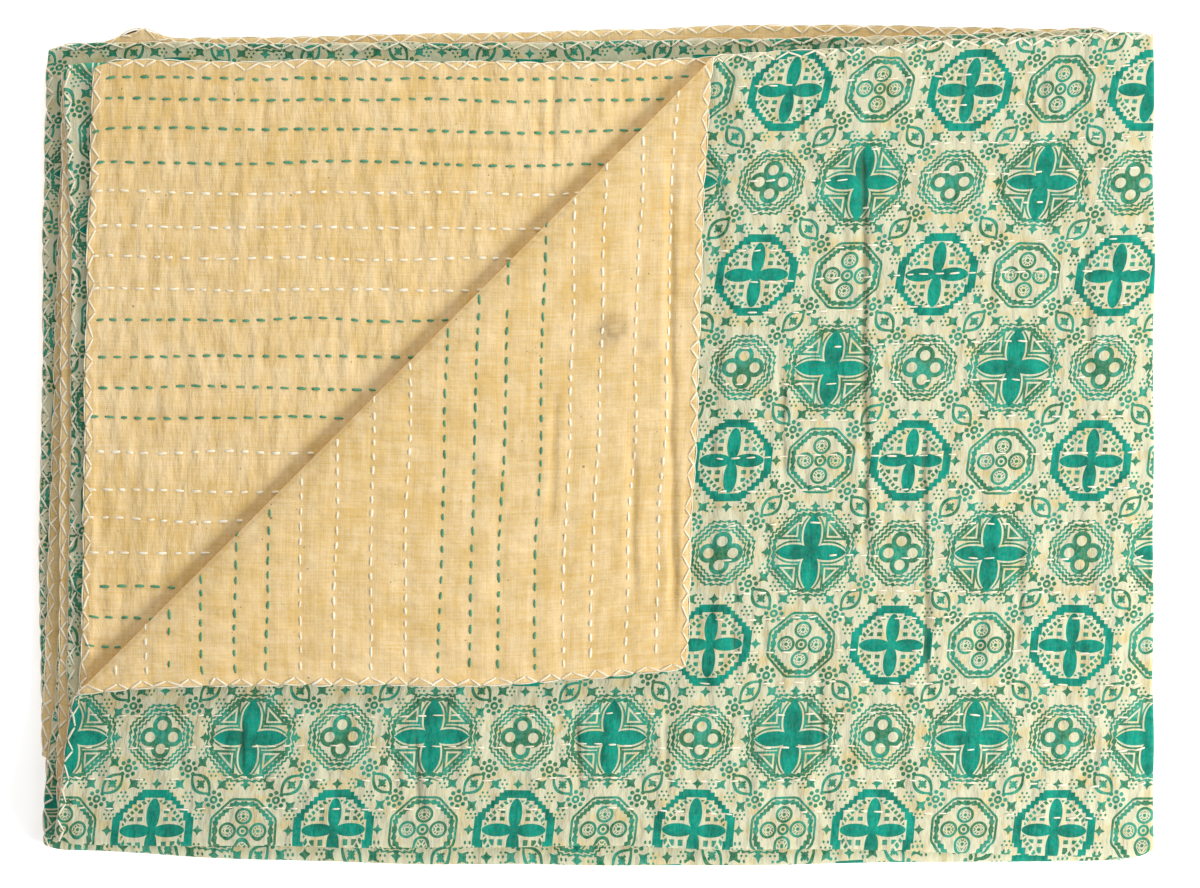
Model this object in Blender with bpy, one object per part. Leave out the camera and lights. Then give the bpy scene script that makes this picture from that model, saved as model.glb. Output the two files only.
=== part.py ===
"""A hand-stitched quilt of two cloths, folded into a pile with one corner turned back.

The quilt is a printed cloth and a plain yellow cloth, back to back. It is doubled across its width with the
yellow inside, and the doubled cloth is then folded to and fro three times along its length, which makes
eight layers. The uppermost layer's free corner is turned back along a slanting crease, so that the yellow
side of that layer and of the one below it shows.

Each cloth is cut flat as a thin slab, scored along every fold, and then folded point by point.
Metres, +Z up. The origin is the centre of the pile's footprint, on the surface that it lies on.
"""

from collections import namedtuple
from math import cos, pi, sin, sqrt

import bmesh
import bpy
from mathutils import Vector

# Driving dimensions, in metres.
CLOTH_THICKNESS = 0.0010
CLOTH_CLEARANCE = 0.0003  # between the printed cloth and the yellow one
LAYER_PITCH = 0.0031  # height from one layer of the quilt to the next
HALF_WIDTH = 0.765  # from a hemmed side to the lengthwise fold
RUN_LENGTHS = (0.551, 0.547, 0.560, 0.577)  # flat lengths between the crosswise folds
TURN_SEGMENTS = 6  # facets round each half turn
HALF_WIDTH_FACETS = 8  # from a hemmed side to the lengthwise fold
CREASE_RADIUS = 0.0036  # of the corner that is turned back, to the middle of the quilt
CREASE_OFFSET = -0.1830  # the crease is the line x - y = this
SETTLING_LENGTH = 0.09  # how far from the crease the turned corner has sunk onto the layer below

QUILT_THICKNESS = 2 * CLOTH_THICKNESS + CLOTH_CLEARANCE
SIDE_TURN_RADIUS = LAYER_PITCH / 2  # of the lengthwise fold
CROSS_TURN_RADIUS = LAYER_PITCH  # of the crosswise folds, to the middle of the doubled cloth
SIDE_TURN_LENGTH = pi * SIDE_TURN_RADIUS
CROSS_TURN_LENGTH = pi * CROSS_TURN_RADIUS
FLAT_WIDTH = 2 * HALF_WIDTH + SIDE_TURN_LENGTH
FLAT_LENGTH = sum(RUN_LENGTHS) + 3 * CROSS_TURN_LENGTH
TOP_LAYER_HEIGHT = QUILT_THICKNESS / 2 + 7 * LAYER_PITCH

# Where each turn and each free end lies, as y at five places across the pile, from its hemmed side to the
# lengthwise fold. "over" is the half of the width that makes the top layer, and "under" the other half.
Line = namedtuple("Line", "turn half side quarter middle three_quarters fold")
LINES = (
    Line("first_end", "over", 0.2534, 0.2600, 0.2668, 0.2795, 0.2870),
    Line("first_end", "under", 0.2685, 0.2680, 0.2676, 0.2780, 0.2870),
    Line("first_turn", "over", -0.2750, -0.2764, -0.2764, -0.2790, -0.2840),
    Line("first_turn", "under", -0.2740, -0.2760, -0.2764, -0.2790, -0.2840),
    Line("second_turn", "over", 0.2600, 0.2610, 0.2620, 0.2650, 0.2680),
    Line("second_turn", "under", 0.2615, 0.2620, 0.2625, 0.2650, 0.2680),
    Line("third_turn", "over", -0.2790, -0.2880, -0.2900, -0.2885, -0.2860),
    Line("third_turn", "under", -0.2200, -0.2700, -0.2850, -0.2870, -0.2860),
    Line("last_end", "over", 0.2840, 0.2870, 0.2905, 0.2940, 0.2915),
    Line("last_end", "under", 0.2815, 0.2812, 0.2820, 0.2856, 0.2915),
)

# Where the hemmed sides lie, as x at four places along each run and where the next run starts.
Hem = namedtuple("Hem", "run half start quarter middle three_quarters end")
HEMS = (
    Hem("first", "over", -0.3486, -0.3591, -0.3591, -0.3626, -0.3787),
    Hem("first", "under", -0.3535, -0.3570, -0.3591, -0.3612, -0.3696),
    Hem("second", "over", -0.3787, -0.3773, -0.3766, -0.3759, -0.3752),
    Hem("second", "under", -0.3696, -0.3710, -0.3696, -0.3689, -0.3738),
    Hem("third", "over", -0.3752, -0.3752, -0.3766, -0.3787, -0.3892),
    Hem("third", "under", -0.3738, -0.3787, -0.3822, -0.3860, -0.3899),
    Hem("fourth", "over", -0.3892, -0.3822, -0.3780, -0.3752, -0.3563),
    Hem("fourth", "under", -0.3899, -0.3920, -0.3906, -0.3892, -0.3871),
)
FOLD_SIDE = (0.3865, 0.3860, 0.3840, 0.3850, 0.3620)  # x of the lengthwise fold, at the ends and turns

TURNS = ("first_end", "first_turn", "second_turn", "third_turn", "last_end")
RUNS = ("first", "second", "third", "fourth")
STATIONS = (0.0, 0.25, 0.5, 0.75, 1.0)

# How much the pile stands higher than its pressed height, as a share: over the folds and in slow waves.
FOLD_LOFT = 0.14
FOLD_LOFT_REACH = 0.07  # how far in from the outer fold the extra height fades away
BOTTOM_FOLD_Y = -0.28
SIDE_FOLD_X = 0.385
WAVE_LOFT = 0.04


def between(values, share):
    """The value at a share of the way along evenly spaced values."""
    steps = len(values) - 1
    place = min(max(share, 0.0), 1.0) * steps
    step = min(int(place), steps - 1)
    return values[step] + (values[step + 1] - values[step]) * (place - step)


def soft_step(share):
    share = min(max(share, 0.0), 1.0)
    return share * share * (3 - 2 * share)


def double_over(across, offset):
    """Folds the width in half: the share of the way from hemmed side to fold, how far past the fold's
    centre line, the height in the doubled cloth, and which half."""
    if across <= HALF_WIDTH:
        return across / HALF_WIDTH, 0.0, SIDE_TURN_RADIUS + offset, "over"
    if across >= HALF_WIDTH + SIDE_TURN_LENGTH:
        return (FLAT_WIDTH - across) / HALF_WIDTH, 0.0, -SIDE_TURN_RADIUS - offset, "under"
    angle = (across - HALF_WIDTH) / SIDE_TURN_RADIUS
    radius = SIDE_TURN_RADIUS + offset
    return 1.0, radius * sin(angle), radius * cos(angle), "over"


def to_and_fro(along, lift):
    """Folds the doubled cloth along its length: the run or turn, the share of the way along the run, how
    far past the turn's centre line, and the height."""
    height = TOP_LAYER_HEIGHT - SIDE_TURN_RADIUS
    start = 0.0
    for run, length in enumerate(RUN_LENGTHS):
        facing = 1 if run % 2 == 0 else -1
        if along <= start + length or run == len(RUN_LENGTHS) - 1:
            return run, (along - start) / length, 0.0, height + facing * lift
        start += length
        if along < start + CROSS_TURN_LENGTH:
            angle = (along - start) / CROSS_TURN_RADIUS
            radius = CROSS_TURN_RADIUS + facing * lift
            past = -facing * radius * sin(angle)
            return run, 1.0, past, height - CROSS_TURN_RADIUS + radius * cos(angle)
        start += CROSS_TURN_LENGTH
        height -= 2 * CROSS_TURN_RADIUS


def line_at(turn, half, share):
    """y of a turn or an end, at a share of the way from the hemmed side to the lengthwise fold."""
    row = next(line for line in LINES if line.turn == turn and line.half == half)
    return between(row[2:], share)


def lay(across, along, offset):
    """Where a point of the flat quilt lies in the pile, before its corner is turned back."""
    share, past_side, lift, half = double_over(across, offset)
    run, way, past_turn, height = to_and_fro(along, lift)
    hem = next(row for row in HEMS if row.run == RUNS[run] and row.half == half)
    hem_x = between(hem[2:], way)
    fold_x = between(FOLD_SIDE[run : run + 2], way)
    start_y = line_at(TURNS[run], half, share)
    end_y = line_at(TURNS[run + 1], half, share)
    x = hem_x + (fold_x - hem_x) * share + past_side
    y = start_y + (end_y - start_y) * way + past_turn
    return Vector((x, y, height))


TOWARDS_CORNER = Vector((-1, 1, 0)) / sqrt(2)


def past_crease(point):
    return (CREASE_OFFSET - (point.x - point.y)) / sqrt(2)


def turn_back(point):
    """Rolls the part of the top layer beyond the crease up and over, onto the rest of that layer."""
    distance = past_crease(point)
    if distance <= 0:
        return point
    offset = point.z - TOP_LAYER_HEIGHT
    foot = point - TOWARDS_CORNER * distance
    angle = min(distance / CREASE_RADIUS, pi)
    beyond = distance - angle * CREASE_RADIUS
    radius = CREASE_RADIUS - offset
    sunk = (2 * CREASE_RADIUS - LAYER_PITCH) * soft_step(beyond / SETTLING_LENGTH)
    rolled = foot + TOWARDS_CORNER * (radius * sin(angle) - beyond)
    rolled.z = TOP_LAYER_HEIGHT + CREASE_RADIUS - radius * cos(angle) - sunk
    return rolled


def loft(point):
    """The pile's height at a place, as a share of its pressed height."""
    to_bottom_folds = soft_step(1 - (point.y - BOTTOM_FOLD_Y) / FOLD_LOFT_REACH)
    to_side_fold = soft_step(1 - (SIDE_FOLD_X - point.x) / FOLD_LOFT_REACH)
    wave = sin(7.5 * point.x + 1.0) * cos(9.0 * point.y - 0.6)
    return 1 + FOLD_LOFT * max(to_bottom_folds, to_side_fold) + WAVE_LOFT * wave


def score_places():
    """Where the flat cloth is scored: across its width, and along its length."""
    turn_steps = [step / TURN_SEGMENTS for step in range(TURN_SEGMENTS + 1)]
    half_shares = [step / HALF_WIDTH_FACETS for step in range(1, HALF_WIDTH_FACETS)]
    across = [HALF_WIDTH * share for share in half_shares]
    across += [HALF_WIDTH + SIDE_TURN_LENGTH * share for share in turn_steps]
    across += [HALF_WIDTH * (1 + share) + SIDE_TURN_LENGTH for share in half_shares]
    along = []
    start = 0.0
    for run, length in enumerate(RUN_LENGTHS):
        along += [start + length * share for share in STATIONS[1:-1]]
        start += length
        if run < len(RUN_LENGTHS) - 1:
            along += [start + CROSS_TURN_LENGTH * share for share in turn_steps]
            start += CROSS_TURN_LENGTH
    return across, along


def crease_scores():
    """Distances past the crease at which the corner is scored: round its roll, and where it sinks."""
    roll = pi * CREASE_RADIUS
    round_roll = [roll * step / TURN_SEGMENTS for step in range(TURN_SEGMENTS + 1)]
    return round_roll + [roll + SETTLING_LENGTH * share for share in STATIONS[1:]]


def score(mesh, place, direction, faces=None):
    """Cuts the faces, or the whole mesh, where a plane meets them."""
    faces = faces or list(mesh.faces)
    edges = {edge for face in faces for edge in face.edges}
    verts = {vert for face in faces for vert in face.verts}
    bmesh.ops.bisect_plane(
        mesh,
        geom=faces + list(edges) + list(verts),
        dist=1e-7,
        plane_co=place,
        plane_no=direction,
    )


def folded_cloth(name, offset):
    """One cloth of the quilt, its middle at an offset from the middle of the quilt's thickness."""
    mesh = bmesh.new()
    bmesh.ops.create_grid(mesh, x_segments=1, y_segments=1, size=0.5)
    bmesh.ops.scale(mesh, vec=(FLAT_WIDTH, FLAT_LENGTH, 1), verts=mesh.verts)
    underside = offset - CLOTH_THICKNESS / 2
    bmesh.ops.translate(mesh, vec=(FLAT_WIDTH / 2, FLAT_LENGTH / 2, underside), verts=mesh.verts)
    across, along = score_places()
    for place in across:
        score(mesh, (place, 0, 0), (1, 0, 0))
    for place in along:
        score(mesh, (0, place, 0), (0, 1, 0))
    bmesh.ops.triangulate(mesh, faces=mesh.faces)
    upper = bmesh.ops.extrude_face_region(mesh, geom=mesh.faces[:])["geom"]
    upper_verts = [item for item in upper if isinstance(item, bmesh.types.BMVert)]
    bmesh.ops.translate(mesh, vec=(0, 0, CLOTH_THICKNESS), verts=upper_verts)

    for vert in mesh.verts:
        vert.co = lay(*vert.co)

    below_top_layer = TOP_LAYER_HEIGHT - LAYER_PITCH / 2
    for distance in crease_scores():
        crease = Vector((CREASE_OFFSET, 0, 0)) + TOWARDS_CORNER * distance
        top_layer = [
            face for face in mesh.faces if all(vert.co.z > below_top_layer for vert in face.verts)
        ]
        score(mesh, crease, TOWARDS_CORNER, top_layer)
    for vert in mesh.verts:
        if vert.co.z > below_top_layer:
            vert.co = turn_back(vert.co)
    for vert in mesh.verts:
        vert.co.z *= loft(vert.co)

    bmesh.ops.recalc_face_normals(mesh, faces=mesh.faces)
    data = bpy.data.meshes.new(name)
    mesh.to_mesh(data)
    mesh.free()
    return bpy.data.objects.new(name, data)


def cotton(name, colour):
    material = bpy.data.materials.new(name)
    material.use_nodes = True
    shader = material.node_tree.nodes["Principled BSDF"]
    shader.inputs["Base Color"].default_value = (*colour, 1.0)
    shader.inputs["Roughness"].default_value = 0.85
    shader.inputs["Metallic"].default_value = 0.0
    return material


def centre_footprint(pieces):
    """Moves the pieces together so that the origin is the middle of their footprint."""
    points = [vert.co for piece in pieces for vert in piece.data.vertices]
    middle_x = (min(p.x for p in points) + max(p.x for p in points)) / 2
    middle_y = (min(p.y for p in points) + max(p.y for p in points)) / 2
    for point in points:
        point.x -= middle_x
        point.y -= middle_y


def main():
    for thing in list(bpy.data.objects):
        bpy.data.objects.remove(thing)
    quilt = bpy.data.collections.new("kantha_quilt")
    bpy.context.scene.collection.children.link(quilt)

    to_cloth = (CLOTH_THICKNESS + CLOTH_CLEARANCE) / 2
    printed = folded_cloth("printed_cloth", to_cloth)
    printed.data.materials.append(cotton("printed_cotton", (0.50, 0.66, 0.46)))
    yellow = folded_cloth("yellow_cloth", -to_cloth)
    yellow.data.materials.append(cotton("yellow_cotton", (0.83, 0.60, 0.29)))
    for piece in (printed, yellow):
        quilt.objects.link(piece)
    centre_footprint((printed, yellow))


main()
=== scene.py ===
"""A hand-stitched kantha quilt, folded into a pile with one corner turned back.

The quilt is a block-printed cloth and a plain handwoven yellow one, held together by rows of running stitch
and by a zigzag of thread over its hem. Each cloth is cut flat as a single sheet with its edges turned in, and
is then laid on the folds of its solid in the frame, with the puckers and creases that the stitching gives it.
Metres, +Z up.
"""

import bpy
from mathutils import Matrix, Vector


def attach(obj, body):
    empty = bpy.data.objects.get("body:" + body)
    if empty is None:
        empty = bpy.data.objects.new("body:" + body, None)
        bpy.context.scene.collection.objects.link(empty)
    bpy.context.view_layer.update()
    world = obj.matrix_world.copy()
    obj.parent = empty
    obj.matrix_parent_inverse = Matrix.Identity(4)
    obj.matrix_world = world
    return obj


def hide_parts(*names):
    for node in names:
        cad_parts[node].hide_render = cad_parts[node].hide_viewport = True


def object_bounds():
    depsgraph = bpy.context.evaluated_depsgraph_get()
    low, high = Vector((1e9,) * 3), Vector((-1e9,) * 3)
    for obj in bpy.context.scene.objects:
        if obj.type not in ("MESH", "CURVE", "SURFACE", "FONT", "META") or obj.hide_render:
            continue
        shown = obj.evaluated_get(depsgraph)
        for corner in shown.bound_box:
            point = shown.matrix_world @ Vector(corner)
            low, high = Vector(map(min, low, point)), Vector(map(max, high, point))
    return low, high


bl_info = {
    "name": "Kantha Quilt",
    "version": (1, 0, 0),
    "blender": (4, 5, 0),
    "location": "View3D > Sidebar > Quilt",
    "description": "Folded hand-stitched quilt: printed cloth, yellow cloth, running stitches and hem thread",
    "category": "Object",
}

from collections import namedtuple
from math import cos, exp, floor, hypot, pi, sin, sqrt
from random import Random

import bmesh
import bpy
from mathutils import Vector, noise

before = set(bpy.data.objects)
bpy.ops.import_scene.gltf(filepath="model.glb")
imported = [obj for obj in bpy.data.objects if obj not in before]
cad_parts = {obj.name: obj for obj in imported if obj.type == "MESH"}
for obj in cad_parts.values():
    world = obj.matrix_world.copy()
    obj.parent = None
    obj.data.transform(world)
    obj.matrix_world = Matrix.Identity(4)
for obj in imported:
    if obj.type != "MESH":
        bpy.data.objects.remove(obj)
CAD_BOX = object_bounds()

# ---------------------------------------------------------------- the folds, as the frame's solids have them

QUILT_THICKNESS = 0.0023
LAYER_PITCH = 0.0031
HALF_WIDTH = 0.765  # from a hemmed side to the lengthwise fold
RUN_LENGTHS = (0.551, 0.547, 0.560, 0.577)  # flat lengths between the crosswise folds
CREASE_RADIUS = 0.0036  # of the corner that is turned back
CREASE_OFFSET = -0.1830  # the crease is the line x - y = this
SETTLING_LENGTH = 0.09  # how far from the crease the turned corner has sunk onto the layer below
CREASE_ROLL = pi * CREASE_RADIUS

SIDE_TURN_RADIUS = LAYER_PITCH / 2
CROSS_TURN_RADIUS = LAYER_PITCH
SIDE_TURN_LENGTH = pi * SIDE_TURN_RADIUS
CROSS_TURN_LENGTH = pi * CROSS_TURN_RADIUS
FLAT_WIDTH = 2 * HALF_WIDTH + SIDE_TURN_LENGTH
FLAT_LENGTH = sum(RUN_LENGTHS) + 3 * CROSS_TURN_LENGTH
TOP_LAYER_HEIGHT = QUILT_THICKNESS / 2 + 7 * LAYER_PITCH

# y of each turn and each free end at five places, from the hemmed side to the lengthwise fold.
Line = namedtuple("Line", "turn half side quarter middle three_quarters fold")
LINES = (
    Line("first_end", "over", 0.2534, 0.2600, 0.2668, 0.2795, 0.2870),
    Line("first_end", "under", 0.2685, 0.2680, 0.2676, 0.2780, 0.2870),
    Line("first_turn", "over", -0.2750, -0.2764, -0.2764, -0.2790, -0.2840),
    Line("first_turn", "under", -0.2740, -0.2760, -0.2764, -0.2790, -0.2840),
    Line("second_turn", "over", 0.2600, 0.2610, 0.2620, 0.2650, 0.2680),
    Line("second_turn", "under", 0.2615, 0.2620, 0.2625, 0.2650, 0.2680),
    Line("third_turn", "over", -0.2790, -0.2880, -0.2900, -0.2885, -0.2860),
    Line("third_turn", "under", -0.2200, -0.2700, -0.2850, -0.2870, -0.2860),
    Line("last_end", "over", 0.2840, 0.2870, 0.2905, 0.2940, 0.2915),
    Line("last_end", "under", 0.2815, 0.2812, 0.2820, 0.2856, 0.2915),
)

# x of the hemmed sides at four places along each run and where the next run starts.
Hem = namedtuple("Hem", "run half start quarter middle three_quarters end")
HEMS = (
    Hem("first", "over", -0.3486, -0.3591, -0.3591, -0.3626, -0.3787),
    Hem("first", "under", -0.3535, -0.3570, -0.3591, -0.3612, -0.3696),
    Hem("second", "over", -0.3787, -0.3773, -0.3766, -0.3759, -0.3752),
    Hem("second", "under", -0.3696, -0.3710, -0.3696, -0.3689, -0.3738),
    Hem("third", "over", -0.3752, -0.3752, -0.3766, -0.3787, -0.3892),
    Hem("third", "under", -0.3738, -0.3787, -0.3822, -0.3860, -0.3899),
    Hem("fourth", "over", -0.3892, -0.3822, -0.3780, -0.3752, -0.3563),
    Hem("fourth", "under", -0.3899, -0.3920, -0.3906, -0.3892, -0.3871),
)
FOLD_SIDE = (0.3865, 0.3860, 0.3840, 0.3850, 0.3620)
TURNS = ("first_end", "first_turn", "second_turn", "third_turn", "last_end")
RUNS = ("first", "second", "third", "fourth")

# The pile stands higher than pressed at its folds, and in slow waves, by these shares.
FOLD_LOFT = 0.14
FOLD_LOFT_REACH = 0.07
BOTTOM_FOLD_Y = -0.28
SIDE_FOLD_X = 0.385
WAVE_LOFT = 0.04
LOWEST_HEIGHT = 0.0002  # no cloth or thread goes below this

LINE_STRAY = 0.0016  # how far folds and ends stray from their lines
HEM_CORNER_PULL = 0.0034
FOLD_CORNER_PULL = 0.0048

# The point of the lowest layer that is pulled out behind the pile, as shares of the width.
DOG_EAR_HALF = "over"
DOG_EAR_LENGTH = 0.0080
DOG_EAR_PLACE = 0.048
DOG_EAR_REACH = 0.034

# The top layer's outline, near enough to tell what the turned corner covers.
TOP_SIDE_X = -0.3591
TOP_END_Y = 0.2650
TOP_WIDTH = 0.745
TOP_LENGTH = 0.541
FOOTPRINT_SHIFT = Vector((0.0014, 0.0009, 0.0))  # puts the middle of the footprint at the origin

# ---------------------------------------------------------------- the stitching, from the first end

# Rows of running stitch in the uppermost layer, and in the one below it, with their thread.
TOP_ROWS = (
    (0.0224, "cream"), (0.0448, "cream"), (0.0700, "cream"), (0.0910, "cream"),
    (0.1120, "green"), (0.1380, "green"), (0.1590, "green"), (0.1806, "green"),
    (0.2060, "cream"), (0.2317, "cream"), (0.2576, "cream"), (0.2828, "cream"),
    (0.3066, "green"), (0.3297, "green"), (0.3535, "green"), (0.3773, "green"),
    (0.3948, "cream"), (0.4180, "cream"), (0.4400, "cream"), (0.4620, "cream"),
    (0.4850, "green"), (0.5080, "green"), (0.5300, "green"),
)
INNER_ROWS = (
    (0.0119, "green"), (0.0273, "green"), (0.0483, "green"), (0.0721, "green"),
    (0.0924, "cream"), (0.1176, "cream"), (0.1393, "cream"), (0.1617, "cream"),
    (0.1834, "green"), (0.2100, "green"), (0.2317, "green"), (0.2534, "green"),
    (0.2779, "cream"), (0.3059, "cream"), (0.3262, "cream"), (0.3500, "cream"),
    (0.3745, "green"), (0.3969, "green"), (0.4165, "green"),
)
HEM_PITCH = 0.0186  # from one point of the zigzag to the next
HEM_BAND = 0.0095  # width of the turned-in edge
EDGE_CORNER = 0.0016  # how far the corners of the flat quilt are rounded

# How each visible part of the pile puckers: least swell, strength, rows of stitching and seed.
Puckering = namedtuple("Puckering", "swell strength rows seed")
PUCKERING = {
    "print": Puckering(0.0018, 1.7, TOP_ROWS, 2.0),
    "flap": Puckering(0.0013, 1.4, TOP_ROWS, 2.0),
    "inner": Puckering(0.0013, 1.4, INNER_ROWS, 5.0),
}

# Creases pressed into the visible layers: two ends in the pile, half width, and how deep the trough is.
Crease = namedtuple("Crease", "zone start end width depth")
CREASES = (
    Crease("print", (0.1850, 0.215), (0.1872, -0.082), 0.0022, 0.0021),
    Crease("print", (0.2275, 0.010), (0.2300, -0.180), 0.0021, 0.0017),
    Crease("print", (0.1400, 0.262), (0.1425, 0.205), 0.0018, 0.0015),
    Crease("print", (0.2560, 0.276), (0.2520, 0.222), 0.0018, 0.0015),
    Crease("print", (0.3100, 0.268), (0.3130, 0.214), 0.0020, 0.0013),
    Crease("print", (0.3420, 0.150), (0.3450, 0.040), 0.0023, 0.0013),
    Crease("print", (0.1280, 0.060), (0.1300, -0.030), 0.0020, 0.0011),
    Crease("print", (0.0950, -0.080), (0.0960, -0.168), 0.0018, 0.0013),
    Crease("print", (0.2960, -0.060), (0.2940, -0.150), 0.0021, 0.0011),
    Crease("print", (-0.2500, -0.188), (-0.2480, -0.236), 0.0017, 0.0015),
    Crease("print", (-0.1280, -0.192), (-0.1260, -0.262), 0.0018, 0.0015),
    Crease("print", (-0.0150, -0.186), (-0.0130, -0.250), 0.0018, 0.0015),
    Crease("print", (0.0480, -0.180), (0.0500, -0.262), 0.0018, 0.0013),
    Crease("print", (0.1550, -0.130), (0.1560, -0.230), 0.0018, 0.0013),
    Crease("flap", (0.0505, 0.205), (0.0520, -0.120), 0.0026, 0.0016),
    Crease("flap", (0.0230, 0.010), (0.0250, -0.110), 0.0029, 0.0010),
    Crease("flap", (-0.0300, 0.040), (-0.0330, -0.060), 0.0031, 0.0010),
    Crease("inner", (-0.0315, 0.268), (-0.0315, 0.198), 0.0023, 0.0013),
    Crease("inner", (-0.1390, 0.207), (-0.0480, 0.206), 0.0026, 0.0010),
    Crease("inner", (-0.3300, 0.020), (-0.2500, 0.016), 0.0031, 0.0010),
    Crease("inner", (-0.3400, 0.110), (-0.2700, 0.118), 0.0031, 0.0008),
)

# The print repeats every two of these, and is mirrored at each.
MEDALLION_STEP_X = 63.0  # millimetres, as all the print's sizes are
MEDALLION_STEP_Y = 64.75
FIRST_MEDALLION = (66.5, -270.2)
PRINT_LEAN = (11.9, 0.315)  # how far each pair of rows is to the right of the last, and its growth
PRINT_STRAY = 1.7
PRINT_STRAY_LENGTH = 70

HemStation = namedtuple("HemStation", "inset share")
HEM_PROFILE = (
    HemStation(0.0110, 0.12),
    HemStation(0.0055, 0.12),
    HemStation(0.0010, 0.13),
    HemStation(0.0003, 0.25),
    HemStation(0.0000, 0.56),
    HemStation(0.0003, 0.86),
    HemStation(0.0010, 1.00),
    HemStation(0.0030, 1.00),
    HemStation(0.0060, 1.00),
    HemStation(0.0090, 1.00),
)


def soft_step(share):
    share = min(max(share, 0.0), 1.0)
    return share * share * (3 - 2 * share)


def between(values, share):
    """The value at a share of the way along evenly spaced values, on one smooth curve through them."""
    last = len(values) - 1
    place = min(max(share, 0.0), 1.0) * last
    step = min(int(place), last - 1)
    way = place - step
    before = values[max(step - 1, 0)]
    start = values[step]
    end = values[step + 1]
    after = values[min(step + 2, last)]
    bend = 2 * before - 5 * start + 4 * end - after
    swing = 3 * start - before - 3 * end + after
    return start + 0.5 * way * (end - before + way * (bend + way * swing))


def double_over(across, offset):
    """Folds the width in half: share of the way from hemmed side to fold, distance past the fold's centre,
    height in the doubled cloth, and half."""
    if across <= HALF_WIDTH:
        return across / HALF_WIDTH, 0.0, SIDE_TURN_RADIUS + offset, "over"
    if across >= HALF_WIDTH + SIDE_TURN_LENGTH:
        return (FLAT_WIDTH - across) / HALF_WIDTH, 0.0, -SIDE_TURN_RADIUS - offset, "under"
    angle = (across - HALF_WIDTH) / SIDE_TURN_RADIUS
    radius = SIDE_TURN_RADIUS + offset
    half = "over" if angle < pi / 2 else "under"
    return 1.0, radius * sin(angle), radius * cos(angle), half


def to_and_fro(along, lift):
    """Folds the doubled cloth along its length: run, share of the way along it, distance past the turn's
    centre, and height."""
    height = TOP_LAYER_HEIGHT - SIDE_TURN_RADIUS
    start = 0.0
    for run, length in enumerate(RUN_LENGTHS):
        facing = 1 if run % 2 == 0 else -1
        if along <= start + length or run == len(RUN_LENGTHS) - 1:
            return run, (along - start) / length, 0.0, height + facing * lift
        start += length
        if along < start + CROSS_TURN_LENGTH:
            angle = (along - start) / CROSS_TURN_RADIUS
            radius = CROSS_TURN_RADIUS + facing * lift
            past = -facing * radius * sin(angle)
            return run, 1.0, past, height - CROSS_TURN_RADIUS + radius * cos(angle)
        start += CROSS_TURN_LENGTH
        height -= 2 * CROSS_TURN_RADIUS


def wobble(x, y, z):
    """A smooth random value from -1 to 1 that depends only on the place."""
    return noise.noise(Vector((x, y, z)))


TURN_LINES = {(row.turn, row.half): row[2:] for row in LINES}
HEM_LINES = {(row.run, row.half): row[2:] for row in HEMS}

Spot = namedtuple("Spot", "point run half")


def stray(share, number):
    """How far a fold or an end strays from its line, at a share of the way along it."""
    return LINE_STRAY * wobble(share * 9.0, number * 5.1, 0.7)


def dog_ear(share):
    """The small point of the lowest layer that sticks out behind the pile."""
    return DOG_EAR_LENGTH * soft_step(1 - abs(share - DOG_EAR_PLACE) / DOG_EAR_REACH)


def corner_pull(share):
    """How far a fold draws back from its line where it meets a hemmed side or the lengthwise fold."""
    at_hem = max(0.0, 1 - share / 0.022)
    at_fold = max(0.0, 1 - (1 - share) / 0.020)
    return HEM_CORNER_PULL * at_hem**2 + FOLD_CORNER_PULL * at_fold**2


def lay(across, along, offset):
    """Where a point of the flat quilt lies in the pile, before its corner is turned back."""
    share, past_side, lift, half = double_over(across, offset)
    run, way, past_turn, height = to_and_fro(along, lift)
    hem_x = between(HEM_LINES[RUNS[run], half], way)
    fold_x = between(FOLD_SIDE[run : run + 2], way)
    fold_x += stray(way, run + 10)
    downwards = 1 if run % 2 == 0 else -1
    pull = downwards * corner_pull(share)
    start_pull = 0.0 if run == 0 and half == "over" else pull
    start_y = between(TURN_LINES[TURNS[run], half], share) + stray(share, run) - start_pull
    end_y = between(TURN_LINES[TURNS[run + 1], half], share) + stray(share, run + 1) + pull
    if run == 3 and half == DOG_EAR_HALF:
        end_y += dog_ear(share)
    x = hem_x + (fold_x - hem_x) * share + past_side
    y = start_y + (end_y - start_y) * way + past_turn
    return Spot(Vector((x, y, height)), run, half)


TOWARDS_CORNER = Vector((-1, 1, 0)) / sqrt(2)  # square to the crease


def past_crease(point):
    return (CREASE_OFFSET - (point.x - point.y)) / sqrt(2)


def turn_back(point):
    """Rolls the part of the top layer beyond the crease up and over, onto the rest of that layer."""
    distance = past_crease(point)
    if distance <= 0:
        return point
    offset = point.z - TOP_LAYER_HEIGHT
    foot = point - TOWARDS_CORNER * distance
    angle = min(distance / CREASE_RADIUS, pi)
    beyond = distance - angle * CREASE_RADIUS
    radius = CREASE_RADIUS - offset
    sunk = (2 * CREASE_RADIUS - LAYER_PITCH) * soft_step(beyond / SETTLING_LENGTH)
    rolled = foot + TOWARDS_CORNER * (radius * sin(angle) - beyond)
    rolled.z = TOP_LAYER_HEIGHT + CREASE_RADIUS - radius * cos(angle) - sunk
    return rolled


def loft(point):
    """The pile's height at a place, as a share of its pressed height."""
    to_bottom_folds = soft_step(1 - (point.y - BOTTOM_FOLD_Y) / FOLD_LOFT_REACH)
    to_side_fold = soft_step(1 - (SIDE_FOLD_X - point.x) / FOLD_LOFT_REACH)
    wave = sin(7.5 * point.x + 1.0) * cos(9.0 * point.y - 0.6)
    return 1 + FOLD_LOFT * max(to_bottom_folds, to_side_fold) + WAVE_LOFT * wave


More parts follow.
